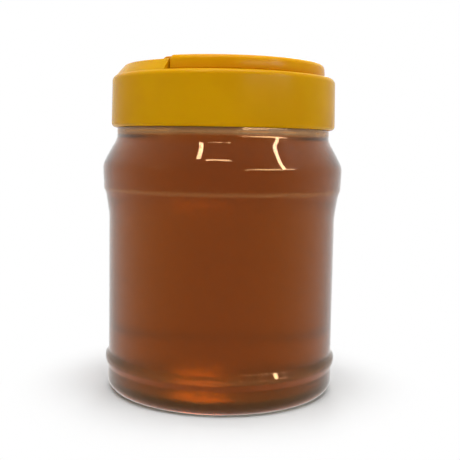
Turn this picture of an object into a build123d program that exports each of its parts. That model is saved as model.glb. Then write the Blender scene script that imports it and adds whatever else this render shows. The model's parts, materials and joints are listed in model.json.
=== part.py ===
from build123d import *
from math import atan2, tan
import os

# A clear wide-mouth jar of honey, with a screw lid and a carrying handle that folds down on it.
# Millimetres. The jar stands on Z = 0 with its axis on +Z. The handle lies folded over the -Y
# half of the lid, and its hinge pins point along X.

# Jar, radii of the outer face
body_radius = 59.0         # straight panel between the base and the shoulder bulge
neck_radius = 54.9
bulge_step = 3.1           # how far the shoulder bulge stands out from the body
bulge_edge_step = 2.7      # the same at the bulge's lower edge
ridge_step = 1.6           # the same just under that edge
ledge_step = 1.7           # how far the ledge round the base stands out from the body
base_step = 0.6            # how far the base below the ledge stands out from the body
foot_inset = 9.0           # from the base's side to the inner edge of the standing ring
push_up_slope = 9.0        # width of the slope from the standing ring to the raised centre

# Jar, heights
jar_height = 160.2
neck_height = 30.1
shoulder_height = 13.0
bulge_flat = 1.82          # upright flat between the bulge's two rounded edges
bulge_taper = 8.2          # from that band down to the bulge's lower edge
ridge_height = 3.3
body_taper = 10.4          # from the ridge down to the straight body
ledge_top = 20.3
ledge_bottom = 12.6
ledge_slope = 2.4          # height of the slope on the ledge's upper side
ledge_band = 2.2           # upright edge of the ledge
push_up_height = 3.4

# Jar, wall and corner radii
wall = 0.9
push_up_corner = 6.0
foot_corner = 1.2
base_corner = 6.0
ledge_corner = 1.5
ledge_root_corner = 1.8
body_corner = 20.0
ridge_corner = 2.0
bulge_edge_corner = 1.6
bulge_corner = 7.0
shoulder_corner = 12.0

# Honey
headspace = 27.8           # from the neck's top down to the honey
honey_gap = 0.05           # between the honey and the jar's inner face

# Lid
lid_skirt = 24.5           # from the neck's top down to the lid's lower edge
lid_wall = 1.6
lid_plate = 1.8
lid_draft = 0.5            # how much narrower the lid is at the top
lid_corner = 3.0
lid_inner_corner = 0.8
thread_space = 1.4         # between the neck and the lid's wall
lip_gap = 0.4              # between the neck and the lip at the lid's lower edge
lip_height = 3.0
lip_corner = 2.2

# Handle: half a ring that lies on the lid
handle_inset = 5.2         # from the lid's top edge to the handle's outer face
handle_width = 9.5
handle_height = 6.6
handle_draft = 0.6
handle_lift = 0.3          # clearance under the folded handle
handle_top_corner = 2.3
handle_inner_corner = 1.2
handle_low_corner = 0.5
handle_end_corner = 1.4

# Crescent: the other half of the ring, moulded on the lid
crescent_drop = 1.7        # how far its crest lies below the handle's top
crescent_inset = 2.0       # from the lid's top edge to the foot of the sloping flank
crescent_flank = 4.5       # how far the flank leans in over its height
crescent_crest = 3.1       # width of the flat crest
crescent_corner = 1.0
root_depth = 0.8           # how far the crescent and the ears are sunk into the lid's plate
ring_gap = 0.5             # between the handle's ends and the crescent's

# Hinge
hinge_setback = 4.2        # from the ring's diameter to the pins' axis
hinge_drop = 1.6           # pins' axis below the crescent's crest
knuckle_radius = 3.0
knuckle_inset = 0.3        # from the handle's inner face to the knuckle
knuckle_width = 3.6
knuckle_reach = 4.0        # how far the knuckle's arm runs into the handle
ear_gap = 0.5
ear_width = 3.7
pin_radius = 1.6
pin_clearance = 0.08
pin_end_gap = 0.3          # from a pin's end to the inner face of its ear

# Levels and radii that follow from those sizes. A steeper turn rounds off more of the bulge's
# band, so the band grows with the turns above and below it and keeps its flat.
bulge_radius = body_radius + bulge_step
turn_above = atan2(abs(bulge_radius - neck_radius), shoulder_height)
turn_below = atan2(bulge_step - bulge_edge_step, bulge_taper)
bulge_band = bulge_flat + bulge_corner * (tan(turn_above / 2) + tan(turn_below / 2))
shoulder_top = jar_height - neck_height
shoulder_bottom = shoulder_top - shoulder_height
band_bottom = shoulder_bottom - bulge_band
bulge_edge = band_bottom - bulge_taper
ridge_bottom = bulge_edge - ridge_height
body_top = ridge_bottom - body_taper
base_radius = body_radius + base_step
ledge_radius = body_radius + ledge_step
deck = jar_height + lid_plate
lid_radius = neck_radius + thread_space + lid_wall
lid_top_radius = lid_radius - lid_draft
handle_radius = lid_top_radius - handle_inset
handle_inner = handle_radius - handle_width
handle_bottom = deck + handle_lift
handle_top = handle_bottom + handle_height
crest = handle_top - crescent_drop
hinge_z = crest - hinge_drop
knuckle_x = handle_inner + knuckle_inset
ear_x = knuckle_x - ear_gap - ear_width


def half_section(corners):
    """Closed face through corners of (radius, height, fillet)."""
    path = FilletPolyline(
        *[(radius, height) for radius, height, _ in corners],
        radius=[fillet_radius for _, _, fillet_radius in corners],
        close=True,
    )
    return make_face(path)


def turned(section):
    """Solid of revolution about the jar's axis."""
    return revolve(Plane.XZ * section, axis=Axis.Z)


def jar_section():
    """Outer shape of the jar, closed across its mouth."""
    foot_radius = base_radius - foot_inset
    ledge_band_top = ledge_top - ledge_slope
    return half_section([
        (0, push_up_height, 0),
        (foot_radius - push_up_slope, push_up_height, push_up_corner),
        (foot_radius, 0, foot_corner),
        (base_radius, 0, base_corner),
        (base_radius, ledge_bottom, ledge_root_corner),
        (ledge_radius, ledge_band_top - ledge_band, ledge_corner),
        (ledge_radius, ledge_band_top, ledge_corner),
        (body_radius, ledge_top, ledge_root_corner),
        (body_radius, body_top, body_corner),
        (body_radius + ridge_step, ridge_bottom, ridge_corner),
        (body_radius + bulge_edge_step, bulge_edge, bulge_edge_corner),
        (bulge_radius, band_bottom, bulge_corner),
        (bulge_radius, shoulder_bottom, bulge_corner),
        (neck_radius, shoulder_top, shoulder_corner),
        (neck_radius, jar_height, 0),
        (0, jar_height, 0),
    ])


def jar_inside(inset, top):
    """The jar's outer shape made smaller all round by inset, open or filled up to top."""
    half = jar_section()
    smaller = offset(half + mirror(half, about=Plane.YZ), amount=-inset)
    mouth = Pos(0, jar_height) * Rectangle(2 * (neck_radius - inset), 2 * neck_height)
    kept = Rectangle(2 * bulge_radius, top, align=(Align.MIN, Align.MIN))
    return turned((smaller + mouth) & kept)


def make_jar():
    return turned(jar_section()) - jar_inside(wall, deck)


def make_honey():
    return jar_inside(wall + honey_gap, jar_height - headspace)


def lid_cap():
    """Round cap with a lip that turns in at its lower edge."""
    skirt_bottom = jar_height - lid_skirt
    lip_top = skirt_bottom + lip_height
    lip_radius = neck_radius + lip_gap
    return turned(half_section([
        (0, jar_height, 0),
        (lid_top_radius - lid_wall, jar_height, lid_inner_corner),
        (lid_radius - lid_wall, lip_top, 0),
        (lip_radius, lip_top - (thread_space - lip_gap), 0),
        (lip_radius, skirt_bottom, 0),
        (lid_radius, skirt_bottom, lip_corner),
        (lid_top_radius, deck, lid_corner),
        (0, deck, 0),
    ]))


def crescent():
    """Raised half ring with a sloping outer flank, on the lid's +Y half."""
    foot = lid_top_radius - crescent_inset
    crest_radius = foot - crescent_flank
    inner = crest_radius - crescent_crest
    ring = turned(half_section([
        (inner, deck - root_depth, 0),
        (foot, deck - root_depth, 0),
        (foot, deck, 0),
        (crest_radius, crest, crescent_corner),
        (inner, crest, crescent_corner),
    ]))
    back_half = Box(
        2 * lid_radius, lid_radius, 2 * lid_skirt, align=(Align.CENTER, Align.MIN, Align.CENTER)
    )
    return ring & Pos(0, ring_gap / 2, deck) * back_half


def along_x(outline, start, width):
    """An outline drawn across the hinge pins, given width along +X from start."""
    return Pos(start, 0, 0) * extrude(Plane.YZ * outline, amount=width)


def hinge_ear():
    """Post on the lid with the bore that a handle pin turns in."""
    height = hinge_z - deck + root_depth
    post = Pos(0, -height / 2) * Rectangle(2 * knuckle_radius, height)
    outline = post + Circle(knuckle_radius) - Circle(pin_radius + pin_clearance)
    return along_x(Pos(hinge_setback, hinge_z) * outline, ear_x, ear_width)


def knuckle():
    """Arm from the handle's end to the hinge, with its pin pointing inwards."""
    length = hinge_setback + knuckle_reach
    arm = Pos(-length / 2, 0) * Rectangle(length, 2 * knuckle_radius) + Circle(knuckle_radius)
    pin_start = ear_x + pin_end_gap
    at_hinge = Pos(hinge_setback, hinge_z)
    pin = along_x(at_hinge * Circle(pin_radius), pin_start, knuckle_x + ear_gap - pin_start)
    return along_x(at_hinge * arm, knuckle_x, knuckle_width) + pin


def handle_band():
    """Half ring with rounded upper edges and ends."""
    ring = turned(half_section([
        (handle_inner, handle_bottom, handle_low_corner),
        (handle_radius, handle_bottom, handle_low_corner),
        (handle_radius - handle_draft, handle_top, handle_top_corner),
        (handle_inner, handle_top, handle_inner_corner),
    ]))
    side = Rectangle(lid_radius, handle_height)
    side = fillet(side.vertices().sort_by(Axis.X)[-2:], handle_end_corner)
    side = Pos(-(lid_radius + ring_gap) / 2, (handle_bottom + handle_top) / 2) * side
    return ring & along_x(side, -lid_radius, 2 * lid_radius)


def with_both(solid, piece):
    """Solid joined with a piece and with the piece's mirror image across the YZ plane."""
    return solid + piece + mirror(piece, about=Plane.YZ)


def make_lid():
    return with_both(lid_cap() + crescent(), hinge_ear())


def make_handle():
    return with_both(handle_band(), knuckle())


os.makedirs("parts", exist_ok=True)
export_step(make_jar(), "parts/jar.step")
export_step(make_honey(), "parts/honey.step")
export_step(make_lid(), "parts/lid.step")
export_step(make_handle(), "parts/handle.step")
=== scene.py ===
# %% [markdown]
# # A jar of honey
# The object is a clear, wide-mouth plastic jar, filled with dark honey and closed by a yellow
# screw lid whose carrying handle lies folded on top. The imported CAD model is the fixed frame:
# it says where every piece is and which body carries it. This script gives each piece its finish.

# %% Load the frame
import json
import math
import bpy
from mathutils import Matrix, Quaternion, Vector


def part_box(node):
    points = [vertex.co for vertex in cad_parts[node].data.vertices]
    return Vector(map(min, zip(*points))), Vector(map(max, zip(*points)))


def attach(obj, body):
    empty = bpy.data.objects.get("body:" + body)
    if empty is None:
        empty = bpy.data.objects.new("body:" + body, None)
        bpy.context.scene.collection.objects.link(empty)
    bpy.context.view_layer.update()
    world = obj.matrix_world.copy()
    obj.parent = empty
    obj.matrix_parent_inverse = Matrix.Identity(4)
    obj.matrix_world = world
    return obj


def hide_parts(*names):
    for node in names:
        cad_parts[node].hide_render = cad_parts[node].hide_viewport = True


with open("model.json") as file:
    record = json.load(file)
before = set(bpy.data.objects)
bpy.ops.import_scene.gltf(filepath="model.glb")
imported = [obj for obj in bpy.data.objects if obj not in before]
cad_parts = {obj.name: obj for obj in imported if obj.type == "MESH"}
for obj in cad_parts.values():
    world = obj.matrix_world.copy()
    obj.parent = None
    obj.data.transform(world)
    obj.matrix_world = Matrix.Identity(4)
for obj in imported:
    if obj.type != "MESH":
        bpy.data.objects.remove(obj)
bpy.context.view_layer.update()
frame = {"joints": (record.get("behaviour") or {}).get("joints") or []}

# %% [markdown]
# ## Sizes
# The frame's boxes give the large sizes: how wide the jar is, where the honey ends and where the
# lid and the handle lie. The smaller steps, walls and corner radii are named here, in metres.
# Nearly all are the CAD model's own, so the pieces fit the frame without any fitting. A few
# roundings differ, and the shoulder swells slightly, to bend mirrored lines as a blown jar does.

# %% Sizes of the jar, the lid and the handle
MM = 0.001
_, jar_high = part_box("jar")
_, honey_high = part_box("honey")
lid_low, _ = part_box("lid")
handle_low, handle_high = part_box("handle")
hinge = Vector(frame["joints"][0]["pos_m"])

AROUND = 160                        # faces round the jar
wall = 0.9 * MM
bulge_radius = jar_high.x
body_radius = bulge_radius - 3.1 * MM
neck_radius = bulge_radius - 7.2 * MM
jar_top = jar_high.z
honey_top = honey_high.z
lid_plate = 1.8 * MM
deck = jar_top + lid_plate          # the lid's flat top
lid_radius = neck_radius + 3.0 * MM
lid_top_radius = lid_radius - 0.5 * MM
lid_wall = 1.6 * MM
lid_bottom = lid_low.z
handle_radius = lid_top_radius - 5.2 * MM
handle_width = 9.5 * MM
handle_inner = handle_radius - handle_width
handle_bottom = handle_low.z
handle_top = handle_high.z
crest = handle_top - 1.7 * MM       # the fixed half of the ring is a little lower
ring_gap = 0.5 * MM
knuckle_radius = 3.0 * MM
pin_radius = 1.6 * MM
print("honey level", round(honey_top, 4), "lid", round(lid_bottom, 4), "to", round(deck, 4))

# %% [markdown]
# ## Helpers for modelling
# An operator acts on whatever is selected, and loading the frame leaves its nodes selected, so
# every new piece starts from a cleared selection. Edges and faces are then picked by their place.

# %% Selection and finishing helpers
def clear_selection():
    if bpy.context.mode != "OBJECT":
        bpy.ops.object.mode_set(mode="OBJECT")
    bpy.ops.object.select_all(action="DESELECT")


def edit(piece):
    """Opens a piece in edit mode with nothing selected."""
    clear_selection()
    bpy.context.view_layer.objects.active = piece
    piece.select_set(True)
    bpy.ops.object.mode_set(mode="EDIT")
    bpy.ops.mesh.select_all(action="DESELECT")


def pick(kind, wanted):
    """Selects the vertices, edges or faces of the piece in edit mode whose places pass a test."""
    mesh = bpy.context.edit_object.data
    bpy.ops.mesh.select_mode(type={"vertices": "VERT", "edges": "EDGE", "polygons": "FACE"}[kind])
    bpy.ops.mesh.select_all(action="DESELECT")
    bpy.ops.object.mode_set(mode="OBJECT")
    places = [vertex.co for vertex in mesh.vertices]
    for item in getattr(mesh, kind):
        own = [item.co] if kind == "vertices" else [places[i] for i in item.vertices]
        item.select = wanted(own)
    bpy.ops.object.mode_set(mode="EDIT")


def from_axis(place):
    return math.hypot(place.x, place.y)


def finish_mesh(piece, angle=35):
    """Merges doubles, turns the faces outwards, smooths the round parts and fixes the place."""
    edit(piece)
    bpy.ops.mesh.select_all(action="SELECT")
    bpy.ops.mesh.remove_doubles(threshold=0.001 * MM)
    bpy.ops.mesh.normals_make_consistent(inside=False)
    settle(piece)
    bpy.ops.object.shade_smooth_by_angle(angle=math.radians(angle))
    return piece


def settle(piece):
    """Leaves edit mode and moves the object's place into its mesh."""
    clear_selection()
    bpy.context.view_layer.objects.active = piece
    piece.select_set(True)
    bpy.ops.object.transform_apply(location=True, rotation=True, scale=True)


def apply_modifier(piece, kind, **settings):
    clear_selection()
    bpy.context.view_layer.objects.active = piece
    piece.select_set(True)
    modifier = piece.modifiers.new(kind.title(), kind)
    for name, value in settings.items():
        setattr(modifier, name, value)
    bpy.ops.object.modifier_apply(modifier=modifier.name)


def weld(piece, *others):
    """Joins closed pieces into one closed mesh."""
    for other in others:
        apply_modifier(piece, "BOOLEAN", operation="UNION", solver="EXACT", object=other)
        bpy.data.objects.remove(other)
    return piece


# %% [markdown]
# ## Turning a round shape
# The jar and the lid are round, as things blown or moulded about an axis are. A profile could be
# spun, but drawing ring after ring, as a potter raises a wall, keeps each corner easy to find:
# a circle is extruded to the next height and scaled to the next radius. Each corner ring is then
# bevelled. A bevel's width is the fillet's radius times the tangent of half the corner's turn.

# %% Ring by ring
def ring_turn(before, here, after):
    """Angle by which a profile turns at a corner."""
    arriving = math.atan2(here[1] - before[1], here[0] - before[0])
    leaving = math.atan2(after[1] - here[1], after[0] - here[0])
    return abs((leaving - arriving + math.pi) % (2 * math.pi) - math.pi)


def raise_rings(name, corners):
    """Open round skin through corners of (radius, height, fillet)."""
    clear_selection()
    radius, height, _ = corners[0]
    bpy.ops.mesh.primitive_circle_add(vertices=AROUND, radius=radius, location=(0, 0, height))
    piece = bpy.context.object
    piece.name = name
    settle(piece)
    edit(piece)
    bpy.ops.mesh.select_mode(type="VERT")
    bpy.ops.mesh.select_all(action="SELECT")
    for next_radius, next_height, _ in corners[1:]:
        rise = {"value": (0, 0, next_height - height)}
        bpy.ops.mesh.extrude_region_move(TRANSFORM_OT_translate=rise)
        growth = next_radius / radius
        bpy.ops.transform.resize(value=(growth, growth, 1), center_override=(0, 0, 0))
        radius, height = next_radius, next_height
    for before, here, after in zip(corners, corners[1:], corners[2:]):
        if here[2] > 0:
            round_ring(here, ring_turn(before, here, after))
    return piece


def on_ring(radius, height):
    """Test for what lies on the ring of that radius and height."""
    near = 0.01 * MM
    return lambda places: all(
        abs(from_axis(place) - radius) < near and abs(place.z - height) < near
        for place in places
    )


def round_ring(corner, turn):
    radius, height, fillet = corner
    pick("edges", on_ring(radius, height))
    segments = max(2, round(math.degrees(turn) / 9))
    bpy.ops.mesh.bevel(
        offset=fillet * math.tan(turn / 2), segments=segments, profile=0.5, affect="EDGES"
    )


def close_end(radius, height):
    """Shrinks an open ring of the piece in edit mode to one point on the axis."""
    pick("edges", on_ring(radius, height))
    bpy.ops.mesh.extrude_region_move(TRANSFORM_OT_translate={"value": (0, 0, 0)})
    bpy.ops.mesh.merge(type="CENTER")


# %% [markdown]
# ## The jar
# The real jar is blown from clear plastic, so its wall is thin and even, and every corner is
# round. It has a ledge round its base, a straight body, a bulge at the shoulder and a wide neck.
# Only the outer skin is drawn. Solidify then gives it the wall, which is how a blown wall forms
# too: it follows the mould outside, and its inner face follows the outer one.

# %% The jar's outer skin
foot_radius = body_radius - 8.4 * MM
middle_radius = foot_radius - 9.0 * MM
base_radius = body_radius + 0.6 * MM
ledge_radius = body_radius + 1.7 * MM
shoulder_top = jar_top - 30.1 * MM
shoulder_bottom = shoulder_top - 13.0 * MM
band_bottom = shoulder_bottom - 3.8 * MM
bulge_edge = band_bottom - 8.2 * MM
ridge_bottom = bulge_edge - 3.3 * MM
body_top = ridge_bottom - 10.4 * MM
push_up = 3.4 * MM
swell = 0.25 * MM                   # the shoulder's slope isn't quite straight
gate_radius = 2.2 * MM
gate_height = 0.9 * MM
jar_corners = [
    (gate_radius, push_up - gate_height, 0),
    (gate_radius + 0.4 * MM, push_up, 0.5 * MM),
    (middle_radius, push_up, 6.0 * MM),
    (foot_radius, 0, 1.2 * MM),
    (base_radius, 0, 6.0 * MM),
    (base_radius, 12.6 * MM, 1.8 * MM),
    (ledge_radius, 15.7 * MM, 1.5 * MM),
    (ledge_radius, 17.9 * MM, 1.5 * MM),
    (body_radius, 20.3 * MM, 1.8 * MM),
    (body_radius, body_top, 20.0 * MM),
    (body_radius + 1.6 * MM, ridge_bottom, 2.0 * MM),
    (body_radius + 2.7 * MM, bulge_edge, 0.8 * MM),
    (bulge_radius, band_bottom, 7.0 * MM),
    (bulge_radius, shoulder_bottom, 7.0 * MM),
    ((bulge_radius + neck_radius) / 2 + swell, (shoulder_bottom + shoulder_top) / 2, 90 * MM),
    (neck_radius, shoulder_top, 8.0 * MM),
    (neck_radius, jar_top, 0),
]
jar = raise_rings("jar_shell", jar_corners)
close_end(gate_radius, push_up - gate_height)
finish_mesh(jar)
print("jar skin", len(jar.data.polygons), "faces")

# %% [markdown]
# ## The honey
# The honey has the jar's inner shape. In a ray tracer a film of air between a liquid and its
# glass shows as a silvery skin, so the honey is made a little too large: a copy of the jar's
# skin is shrunk by half a wall, which leaves it just inside the wall, and cut above its level.
# Its top is then pushed down to the level inside a thin rim, because a jar that has been carried
# about has a coat of honey on its wall that runs back slowly.

# %% Honey cut from a copy of the skin
def copy_of(piece, name):
    clear_selection()
    bpy.context.view_layer.objects.active = piece
    piece.select_set(True)
    bpy.ops.object.duplicate()
    bpy.context.object.name = name
    return bpy.context.object


coat = 5.5 * MM
honey = copy_of(jar, "honey_fill")
edit(honey)
bpy.ops.mesh.select_all(action="SELECT")
bpy.ops.transform.shrink_fatten(value=-0.55 * wall, use_even_offset=True)
bpy.ops.mesh.bisect(
    plane_co=(0, 0, honey_top + coat), plane_no=(0, 0, 1),
    clear_outer=True, use_fill=True, threshold=0.001 * MM,
)
pick("polygons", lambda places: all(
    abs(place.z - honey_top - coat) < 0.01 * MM for place in places
))
for inwards, fall in ((1.1, 0), (0.1, 0.25), (0.15, 0.35), (0.35, 0.25), (0.5, 0.1), (1.0, 0.05)):
    bpy.ops.mesh.inset(thickness=inwards * MM, depth=0)
    bpy.ops.transform.translate(value=(0, 0, -fall * coat))
bpy.ops.mesh.inset(thickness=12 * MM, depth=0)
bpy.ops.mesh.poke()
finish_mesh(honey, angle=60)
print("honey", len(honey.data.polygons), "faces")

# %% The wall
jar.data.materials.append(None)
jar.data.materials.append(None)
apply_modifier(
    jar, "SOLIDIFY", thickness=wall, offset=-1, use_even_offset=True, material_offset=1
)
print("jar with its wall", len(jar.data.polygons), "faces")

# %% [markdown]
# ## The lid
# The lid is moulded in one piece: a round cap with a lip that turns in at its lower edge, the
# raised crescent that completes the handle's ring, and two ears that hold the handle's pins. The
# cap is drawn ring by ring, out over the top, down the outside and up the inside, so that it has
# its real wall.

# %% The cap
skirt_inner = lid_radius - lid_wall
lip_radius = neck_radius + 0.4 * MM
dish = 0.3 * MM
dish_radius = 36.0 * MM
lid_gate = 1.5 * MM
cap_corners = [
    (lid_gate, deck + 0.1 * MM, 0),
    (lid_gate + 0.2 * MM, deck - dish, 0),
    (dish_radius, deck - dish, 0.6 * MM),
    (dish_radius + 0.5 * MM, deck, 0.6 * MM),
    (lid_top_radius, deck, 3.0 * MM),
    (lid_radius, lid_bottom, 2.2 * MM),
    (lip_radius, lid_bottom, 0.2 * MM),
    (lip_radius, lid_bottom + 2.0 * MM, 0.2 * MM),
    (skirt_inner, lid_bottom + 3.0 * MM, 0.2 * MM),
    (lid_top_radius - lid_wall, jar_top, 0.8 * MM),
    (lid_gate, jar_top, 0),
]
lid = raise_rings("lid_cap", cap_corners)
close_end(lid_gate, deck + 0.1 * MM)
close_end(lid_gate, jar_top)
finish_mesh(lid, angle=40)
print("cap", len(lid.data.polygons), "faces")

# %% [markdown]
# ## The handle's ring
# The carrying handle is half a ring, and a crescent moulded on the lid completes it. Both have
# one cross-section all the way. It is drawn once, as a plane pushed into shape with its corners
# rounded, and spun through a quarter turn. A mirror then makes the other quarter. The handle's
# ends are drawn out in five small steps that shrink along a quarter circle, which rounds them.

# %% A section, spun and mirrored
def section_plane(name, corners, side):
    """Upright plane along the X axis with four corners of (radius, height), set off to a side."""
    clear_selection()
    bpy.ops.mesh.primitive_plane_add(size=2, rotation=(math.pi / 2, 0, 0))
    piece = bpy.context.object
    piece.name = name
    settle(piece)
    edit(piece)
    for (x, z), (radius, height) in zip(((-1, -1), (1, -1), (1, 1), (-1, 1)), corners):
        pick("vertices", lambda places: (places[0] - Vector((x, 0, z))).length < 0.5)
        bpy.ops.transform.translate(value=(radius - x, side, height - z))
    return piece


def round_corner(corner, radius, segments=7):
    """Rounds the section's corner at (radius, height)."""
    place = Vector((corner[0], 0, corner[1]))
    pick("vertices", lambda places: ((places[0] - place) * Vector((1, 0, 1))).length < 0.02 * MM)
    bpy.ops.mesh.bevel(offset=radius, segments=segments, profile=0.5, affect="VERTICES")


def quarter_ring(turn):
    """Spins the section in edit mode through a quarter turn, to the YZ plane."""
    bpy.ops.mesh.select_mode(type="FACE")
    bpy.ops.mesh.select_all(action="SELECT")
    bpy.ops.mesh.spin(
        steps=AROUND // 4, angle=turn, center=(0, 0, 0), axis=(0, 0, 1), use_auto_merge=False
    )


def mirror_across(piece):
    """Cuts the quarter at the YZ plane and completes it with its mirror image."""
    edit(piece)
    bpy.ops.mesh.select_all(action="SELECT")
    bpy.ops.mesh.bisect(
        plane_co=(0, 0, 0), plane_no=(1, 0, 0), clear_inner=True, threshold=0.001 * MM
    )
    apply_modifier(piece, "MIRROR", merge_threshold=0.01 * MM)
    return finish_mesh(piece, angle=40)


# %% The crescent on the lid
crescent_foot = lid_top_radius - 2.0 * MM
crescent_edge = crescent_foot - 4.5 * MM
crescent_inner = crescent_edge - 3.1 * MM
root = deck - 0.8 * MM
flank_lean = (crescent_foot - crescent_edge) / (crest - deck)
crescent_section = [
    (crescent_inner, root),
    (crescent_foot + (deck - root) * flank_lean, root),
    (crescent_edge, crest),
    (crescent_inner, crest),
]
crescent = section_plane("lid_crescent", crescent_section, ring_gap / 2)
round_corner(crescent_section[2], 0.8 * MM)
round_corner(crescent_section[3], 1.0 * MM)
quarter_ring(-math.pi / 2)
mirror_across(crescent)
print("crescent", len(crescent.data.polygons), "faces", [round(v, 4) for v in crescent.dimensions])

# %% The handle's band, with rounded ends
end_round = 1.4 * MM
handle_section = [
    (handle_inner, handle_bottom),
    (handle_radius, handle_bottom),
    (handle_radius - 0.6 * MM, handle_top),
    (handle_inner, handle_top),
]
handle_side = -ring_gap / 2 - end_round
band = section_plane("handle_band", handle_section, handle_side)
round_corner(handle_section[2], 2.3 * MM)
round_corner(handle_section[3], 1.2 * MM)
round_corner(handle_section[0], 0.5 * MM, segments=3)
round_corner(handle_section[1], 0.5 * MM, segments=3)
quarter_ring(math.pi / 2)
pick("polygons", lambda places: all(abs(place.y - handle_side) < 0.01 * MM for place in places))
section_centre = ((handle_inner + handle_radius) / 2, 0, (handle_bottom + handle_top) / 2)
reach, width = 0, handle_width
for step in range(1, 6):
    angle = step * math.pi / 10
    next_reach = end_round * math.sin(angle)
    next_width = handle_width - 2 * end_round * (1 - math.cos(angle))
    rise = {"value": (0, next_reach - reach, 0)}
    bpy.ops.mesh.extrude_region_move(TRANSFORM_OT_translate=rise)
    shrink = next_width / width
    bpy.ops.transform.resize(value=(shrink, 1, shrink), center_override=section_centre)
    reach, width = next_reach, next_width
mirror_across(band)
print("handle band", len(band.data.polygons), "faces", [round(v, 4) for v in band.dimensions])

# %% [markdown]
# ## The hinge
# The handle swings on two short pins. Each pin points inwards from a knuckle on the handle's end
# and turns in the bore of an ear on the lid. Ears and knuckles start as blocks, and a bevel as
# wide as half the block makes the round end. The bore is cut with a Boolean modifier.

# %% Ears, knuckles and pins
knuckle_x = handle_inner + 0.3 * MM
knuckle_width = 3.6 * MM
ear_width = 3.7 * MM
ear_x = knuckle_x - 0.5 * MM - ear_width
bore_radius = pin_radius + 0.08 * MM


def block(name, low, high):
    """A block between two corners, ready to be shaped."""
    clear_selection()
    low, high = Vector(low), Vector(high)
    bpy.ops.mesh.primitive_cube_add(size=1, location=(low + high) / 2)
    piece = bpy.context.object
    piece.name = name
    piece.scale = high - low
    settle(piece)
    return piece


def round_end(piece, at, radius):
    """Rounds the edges along X that lie at the given places in Y and Z."""
    edit(piece)
    pick("edges", lambda places: abs(places[0].x - places[1].x) > MM and any(
        abs(places[0].y - y) < 0.01 * MM and abs(places[0].z - z) < 0.01 * MM for y, z in at
    ))
    bpy.ops.mesh.bevel(offset=radius, segments=12, profile=0.5, affect="EDGES")
    clear_selection()


def rod(name, radius, start, end):
    """A round rod along the hinge's axis."""
    clear_selection()
    bpy.ops.mesh.primitive_cylinder_add(
        vertices=48, radius=radius, depth=end - start,
        location=((start + end) / 2, hinge.y, hinge.z), rotation=(0, math.pi / 2, 0),
    )
    piece = bpy.context.object
    piece.name = name
    settle(piece)
    return piece


def hinge_ear():
    top = hinge.z + knuckle_radius
    front, back = hinge.y - knuckle_radius, hinge.y + knuckle_radius
    ear = block("lid_ear", (ear_x, front, root), (ear_x + ear_width, back, top))
    round_end(ear, [(front, top), (back, top)], 0.999 * knuckle_radius)
    bore = rod("bore", bore_radius, ear_x - MM, ear_x + ear_width + MM)
    apply_modifier(ear, "BOOLEAN", operation="DIFFERENCE", solver="EXACT", object=bore)
    bpy.data.objects.remove(bore)
    return ear


def knuckle():
    low, high = hinge.z - knuckle_radius, hinge.z + knuckle_radius
    back = hinge.y + knuckle_radius
    arm = block("handle_knuckle", (knuckle_x, -4.0 * MM, low), (knuckle_x + knuckle_width, back, high))
    round_end(arm, [(back, low), (back, high)], 0.999 * knuckle_radius)
    pin = rod("pin", pin_radius, ear_x + 0.3 * MM, knuckle_x + 0.5 * MM)
    return weld(arm, pin)


def eased_pair(piece):
    """Eases the edges and adds the mirror image on the other side of the jar."""
    apply_modifier(piece, "BEVEL", width=0.3 * MM, segments=3, limit_method="ANGLE")
    apply_modifier(piece, "MIRROR", use_mirror_merge=False)
    return finish_mesh(piece, angle=35)


ears = eased_pair(hinge_ear())
knuckles = eased_pair(knuckle())
print("ears", len(ears.data.polygons), "knuckles", len(knuckles.data.polygons), "faces")

# %% [markdown]
# ## Writing shaders as sums
# A material is a chain of nodes. Wrapping a node's output in a small class that knows how to be
# added and multiplied lets a pattern be written as one line, and every sum adds its Math node.

# %% A signal that can be written in sums
class Signal:
    def __init__(self, finish, socket):
        self.finish, self.socket = finish, socket

    def math(self, operation, *values):
        inputs = dict(enumerate((self, *values)))
        return self.finish.add("ShaderNodeMath", {"operation": operation}, inputs)

    def __add__(self, other):
        return self.math("ADD", other)

    def __sub__(self, other):
        return self.math("SUBTRACT", other)

    def __mul__(self, other):
        return self.math("MULTIPLY", other)

    def __rsub__(self, other):
        return self * -1 + other

    __radd__ = __add__
    __rmul__ = __mul__


class Finish:
    """A material or the world, filled with nodes by one method."""

    def __init__(self, owner):
        owner.use_nodes = True
        self.owner, self.tree = owner, owner.node_tree
        self.tree.nodes.clear()

    def add(self, kind, settings=None, inputs=None, output=0):
        """Adds a node, makes its settings, then fills its sockets with values or links."""
        node = self.tree.nodes.new(kind)
        for name, value in (settings or {}).items():
            setattr(node, name, value)
        for name, value in (inputs or {}).items():
            if isinstance(value, Signal):
                self.tree.links.new(value.socket, node.inputs[name])
            else:
                node.inputs[name].default_value = value
        return Signal(self, node.outputs[output]) if node.outputs else None

    def mix(self, amount, first, second):
        """Mixes two colours."""
        settings = {"data_type": "RGBA"}
        return self.add("ShaderNodeMix", settings, {0: amount, 6: first, 7: second}, output=2)

    def spread(self, value, low, high):
        """Spreads the part of a signal between low and high over 0 to 1, with soft ends."""
        settings = {"interpolation_type": "SMOOTHSTEP"}
        return self.add("ShaderNodeMapRange", settings, {0: value, 1: low, 2: high})

    def place(self):
        return self.add("ShaderNodeTexCoord", output="Object")

    def noise(self, scale, detail=2.0, stretch=(1, 1, 1)):
        """Noise over the piece's own place. Scale is in waves per metre."""
        settings = {"vector_type": "POINT"}
        vector = self.add("ShaderNodeMapping", settings, {"Vector": self.place(), "Scale": stretch})
        return self.add(
            "ShaderNodeTexNoise", None, {"Vector": vector, "Scale": scale, "Detail": detail}
        )

    def bump(self, height, distance):
        return self.add("ShaderNodeBump", None, {"Height": height, "Distance": distance, "Strength": 1.0})


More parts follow.
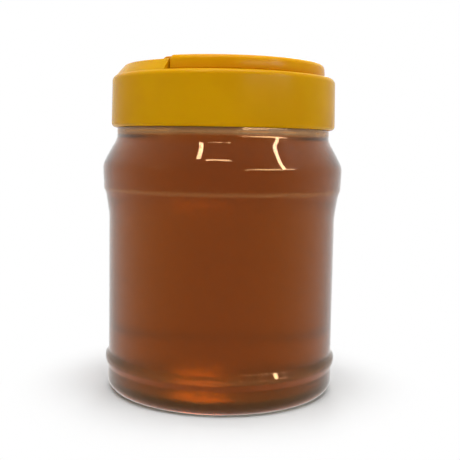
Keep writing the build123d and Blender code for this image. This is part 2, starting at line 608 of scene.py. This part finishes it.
def rgb(red, green, blue):
    """A colour given as a screen shows it, turned into the light it stands for."""
    def linear(part):
        part /= 255
        return part / 12.92 if part <= 0.04045 else ((part + 0.055) / 1.055) ** 2.4
    return (linear(red), linear(green), linear(blue), 1.0)


def wear(piece, finish):
    piece.data.materials.clear()
    piece.data.materials.append(finish.owner)


# %% [markdown]
# ## Yellow plastic
# The lid and the handle are moulded in polypropylene: an even, slightly waxy yellow. The colour
# drifts a little over the part, the surface has the faint orange peel of a mould, and light
# spreads a short way inside the plastic. The gloss is kept lower than the real plastic's, so that
# a white surround doesn't pale the yellow.

# %% Yellow plastic
def yellow_plastic(name, colour, deeper):
    finish = Finish(bpy.data.materials.new(name))
    drift = finish.noise(28.0, 3.0)
    grain = finish.noise(900.0, 2.0)
    peel = finish.noise(240.0, 2.0)
    surface = {
        "Base Color": finish.mix(finish.spread(drift, 0.35, 0.68), deeper, colour),
        "Roughness": drift * 0.10 + grain * 0.06 + 0.14,
        "IOR": 1.49,
        "Specular IOR Level": 0.04,
        "Subsurface Weight": 0.5,
        "Subsurface Radius": (1.0, 0.6, 0.12),
        "Subsurface Scale": 1.6 * MM,
        "Normal": finish.bump(peel * 0.7 + grain * 0.3, 0.05 * MM),
    }
    plastic = finish.add("ShaderNodeBsdfPrincipled", None, surface)
    finish.add("ShaderNodeOutputMaterial", None, {"Surface": plastic})
    return finish


lid_yellow = yellow_plastic("lid_yellow", rgb(212, 156, 2), rgb(205, 148, 2))
handle_yellow = yellow_plastic("handle_yellow", rgb(226, 162, 6), rgb(218, 152, 4))
for piece in (lid, crescent, ears):
    wear(piece, lid_yellow)
for piece in (band, knuckles):
    wear(piece, handle_yellow)
print("yellow", lid_yellow.owner.name, handle_yellow.owner.name)

# %% [markdown]
# ## Clear plastic
# The jar's wall is PET. It bends light like glass, and a blown wall is never quite even, so a
# slow ripple breaks up what it mirrors. A ray tracer gives clear glass a black shadow, so rays
# that look for a lamp go straight through. The outer side mirrors half as much as the real
# plastic and with a warm tint, and the inner side, wetted by honey, mirrors nothing head-on.
# Otherwise a white surround would wash the honey grey. Pale bands of painted highlight lie under
# the lid, on the bulge's lower edge and faintly on the ledge.

# %% Clear plastic
ledge_middle = 16.8 * MM


def painted_highlight_bands(finish):
    """Painted highlight bands: most under the lid, less on the bulge's edge and the ledge."""
    height = finish.add("ShaderNodeSeparateXYZ", None, {"Vector": finish.place()}, output="Z")
    patchy = finish.spread(finish.noise(70.0, 3.0, stretch=(1, 1, 0.3)), 0.3, 0.6) * 0.4 + 0.6
    amount = 0
    for middle, half, most in (
        (bulge_edge - 0.5 * MM, 1.7 * MM, 0.10),
        (ledge_middle, 1.6 * MM, 0.05),
        (lid_bottom - 2.0 * MM, 2.6 * MM, 0.45),
    ):
        away = (height - middle).math("ABSOLUTE")
        amount = amount + (1 - finish.spread(away, 0.1 * MM, half)) * most
    return amount * patchy


def clear_plastic(name, mirrored):
    finish = Finish(bpy.data.materials.new(name))
    ripple = finish.noise(60.0, 2.0, stretch=(1, 1, 0.5))
    surface = {
        "Base Color": rgb(250, 252, 252),
        "Transmission Weight": 1.0,
        "Roughness": 0.02,
        "IOR": 1.5,
        "Specular IOR Level": 0.25,
        "Specular Tint": mirrored,
        "Normal": finish.bump(ripple, 0.03 * MM),
    }
    glass = finish.add("ShaderNodeBsdfPrincipled", None, surface)
    # A pale tan matt layer mixed over the glass in these bands is a painted highlight.
    highlight_band_look = {"Base Color": rgb(230, 165, 92), "Roughness": 0.55}
    highlight_band_shader = finish.add("ShaderNodeBsdfPrincipled", None, highlight_band_look)
    glass_with_painted_highlights = finish.add("ShaderNodeMixShader", None, {0: painted_highlight_bands(finish), 1: glass, 2: highlight_band_shader})
    open_way = finish.add("ShaderNodeBsdfTransparent", None, {"Color": rgb(240, 242, 240)})
    lamp_ray = finish.add("ShaderNodeLightPath", output="Is Shadow Ray")
    pane = finish.add("ShaderNodeMixShader", None, {0: lamp_ray, 1: glass_with_painted_highlights, 2: open_way})
    finish.add("ShaderNodeOutputMaterial", None, {"Surface": pane})
    return finish


outer_side = clear_plastic("clear_plastic", mirrored=(1.0, 0.55, 0.25, 1))
wetted_side = clear_plastic("clear_plastic_wetted", mirrored=(0, 0, 0, 1))
jar.data.materials[0] = outer_side.owner
jar.data.materials[1] = wetted_side.owner
print("clear", [material.name for material in jar.data.materials])

# %% [markdown]
# ## Honey
# Honey is clear but strongly coloured: what goes in white comes out pale amber after a centimetre
# and brown after ten. Its surface is clear and a little hazy, and the colour is absorption inside
# it, so thin places glow and thick ones darken by themselves. Absorption is given per metre: the
# density times one minus the colour is what each metre takes away of red, green and blue.

# %% Honey
def dark_honey(absorbed=(15.0, 31.5, 95.0)):
    finish = Finish(bpy.data.materials.new("dark_honey"))
    surface = {
        "Base Color": (1, 1, 1, 1),
        "Transmission Weight": 1.0,
        "Roughness": 0.22,
        "IOR": 1.49,
        "Specular Tint": (0, 0, 0, 1),
    }
    clear = finish.add("ShaderNodeBsdfPrincipled", None, surface)
    density = max(absorbed)
    passed = tuple(1 - part / density for part in absorbed) + (1.0,)
    inside = finish.add(
        "ShaderNodeVolumeAbsorption", None, {"Color": passed, "Density": density}
    )
    finish.add("ShaderNodeOutputMaterial", None, {"Surface": clear, "Volume": inside})
    return finish


wear(honey, dark_honey())
print("honey", honey.data.materials[0].name)

# %% [markdown]
# ## What rides on what
# The jar, the honey and the lid travel together, and the handle swings on the lid. Each new piece
# stands for a node of the frame, which then isn't shown.

# %% Bodies, with slot names that nothing reads
for piece, node, slot in (
    (jar, "jar", "clear_plastic"),
    (honey, "honey", "honey"),
    (lid, "lid", "yellow_plastic"),
    (crescent, "lid", "yellow_plastic"),
    (ears, "lid", "yellow_plastic"),
    (band, "handle", "yellow_plastic"),
    (knuckles, "handle", "yellow_plastic"),
):
    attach(piece, "carry_handle" if node == "handle" else "filled_jar")
    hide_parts(node)
    print(piece.name, "stands for", node)

# %% [markdown]
# ## The studio
# A product shot: a pale table that runs to white, a large soft light above, two weaker ones in
# front and a back light that shines through the honey. Four narrow lights stand for the frame of
# a tall window: they show only where something mirrors them, and draw the bright lines on the
# jar. Directions are given from the jar, as the angle to the right of the camera and the height
# above level.

# %% Directions and the camera
view_azimuth = math.radians(-60)
to_camera = Vector((math.sin(view_azimuth), -math.cos(view_azimuth), 0))
to_right = Vector((-to_camera.y, to_camera.x, 0))


def toward(right, up):
    """Direction from the jar, in degrees to the camera's right and above level."""
    right, up = math.radians(right), math.radians(up)
    level = to_camera * math.cos(right) + to_right * math.sin(right)
    return level * math.cos(up) + Vector((0, 0, math.sin(up)))


camera = bpy.data.objects.new("camera", bpy.data.cameras.new("camera"))
bpy.context.scene.collection.objects.link(camera)
bpy.context.scene.camera = camera
camera.data.lens = 63.27
camera.data.sensor_width = 36.0
camera.data.clip_start = 0.01
camera.location = to_camera * 0.4267 + Vector((0, 0, 0.1261))
look, down = math.radians(0.595), math.radians(5.8)
level = -to_camera * math.cos(look) + to_right * math.sin(look)
aim = level * math.cos(down) - Vector((0, 0, math.sin(down)))
camera.rotation_mode = "QUATERNION"
lean = Quaternion((0, 0, 1), math.radians(0.98))
camera.rotation_quaternion = aim.to_track_quat("-Z", "Y") @ lean
print("camera", [round(v, 3) for v in camera.location])

# %% The table and the room
def background_rays(finish):
    """The rays that meet the white background: the camera's, mirrored and see-through ones."""
    return [
        finish.add("ShaderNodeLightPath", output=f"Is {kind} Ray")
        for kind in ("Camera", "Glossy", "Transmission")
    ]


clear_selection()
bpy.ops.mesh.primitive_grid_add(x_subdivisions=8, y_subdivisions=8, size=8, location=(0, 0, 0))
table = bpy.context.object
table.name = "table"
settle(table)
table_finish = Finish(bpy.data.materials.new("table_white"))
by_camera, by_mirror, through = background_rays(table_finish)
distance = table_finish.add(
    "ShaderNodeVectorMath", {"operation": "LENGTH"}, {0: table_finish.place()}, output="Value"
)
shadow_start, shadow_end = 0.063, 0.115
white_part = table_finish.spread(distance, shadow_start, shadow_end)
matt = table_finish.add(
    "ShaderNodeBsdfPrincipled", None, {"Base Color": (0.8, 0.8, 0.8, 1), "Roughness": 0.7}
)
white = table_finish.add("ShaderNodeEmission", None, {"Color": (1, 1, 1, 1), "Strength": 1.0})
fade = (by_camera * white_part).math("MAXIMUM", by_mirror).math("MAXIMUM", through)
surface = table_finish.add("ShaderNodeMixShader", None, {0: fade, 1: matt, 2: white})
table_finish.add("ShaderNodeOutputMaterial", None, {"Surface": surface})
wear(table, table_finish)

world = bpy.data.worlds.new("studio")
bpy.context.scene.world = world
room = Finish(world)
by_camera, by_mirror, through = background_rays(room)
shown = by_camera.math("MAXIMUM", by_mirror).math("MAXIMUM", through)
soft = 0.38
strength = shown + (1 - shown) * soft
light = room.add("ShaderNodeBackground", None, {"Color": (1, 1, 1, 1), "Strength": strength})
room.add("ShaderNodeOutputWorld", None, {"Surface": light})
print("table and surround are white, and light matt surfaces at", soft)


# %% Lights
def lamp(
    name, right, up, width, height, radiance, far=1.5, mirrored_only=False, colour=(1, 1, 1)
):
    """A flat light that faces the jar, with its brightness given as its face shows it."""
    data = bpy.data.lights.new(name, "AREA")
    data.color = colour
    data.shape = "RECTANGLE"
    data.size, data.size_y = width, height
    data.energy = radiance * math.pi * width * height
    light = bpy.data.objects.new(name, data)
    bpy.context.scene.collection.objects.link(light)
    middle = Vector((0, 0, 0.1))
    light.location = middle + toward(right, up) * far
    light.rotation_mode = "QUATERNION"
    light.rotation_quaternion = (middle - light.location).to_track_quat("-Z", "Y")
    light.visible_camera = False
    light.visible_transmission = not mirrored_only
    light.visible_diffuse = not mirrored_only
    return light


def strip(name, start, end, width, radiance, far=1.5):
    """A narrow light from one direction to another, which only shows in what mirrors it."""
    middle = Vector((0, 0, 0.12))
    start, end = middle + toward(*start) * far, middle + toward(*end) * far
    light = lamp(
        name, 0, 0, (end - start).length, width, radiance, far, mirrored_only=True,
        colour=(0.85, 0.95, 1.0),
    )
    light.location = (start + end) / 2
    along = (end - start).normalized()
    back = (light.location - middle).normalized()
    side = back.cross(along).normalized()
    back = along.cross(side)
    light.rotation_quaternion = Matrix((along, side, back)).transposed().to_quaternion()
    return light


lamp("overhead", 0, 84, 1.3, 1.0, 6.0)
lamp("front_right", 62, 22, 0.7, 0.8, 0.8, far=1.8)
lamp("front_left", -62, 20, 0.6, 0.8, 0.5, far=1.8)
lamp("back_light", 174, 19, 0.35, 0.32, 8.0)

window_left, window_right = -30, 70
window_foot, window_head = 15, 50
strip("window_head", (window_left + 10, window_head), (window_left + 40, window_head), 0.05, 20)
strip("window_foot", (window_left + 50, window_foot), (window_right, window_foot), 0.12, 20)
strip("left_post", (window_left, window_head), (window_left, window_head + 8), 0.08, 36)
strip("right_post", (window_right - 12, window_foot), (window_right, window_head), 0.08, 36)

bpy.context.scene.view_settings.view_transform = "Standard"
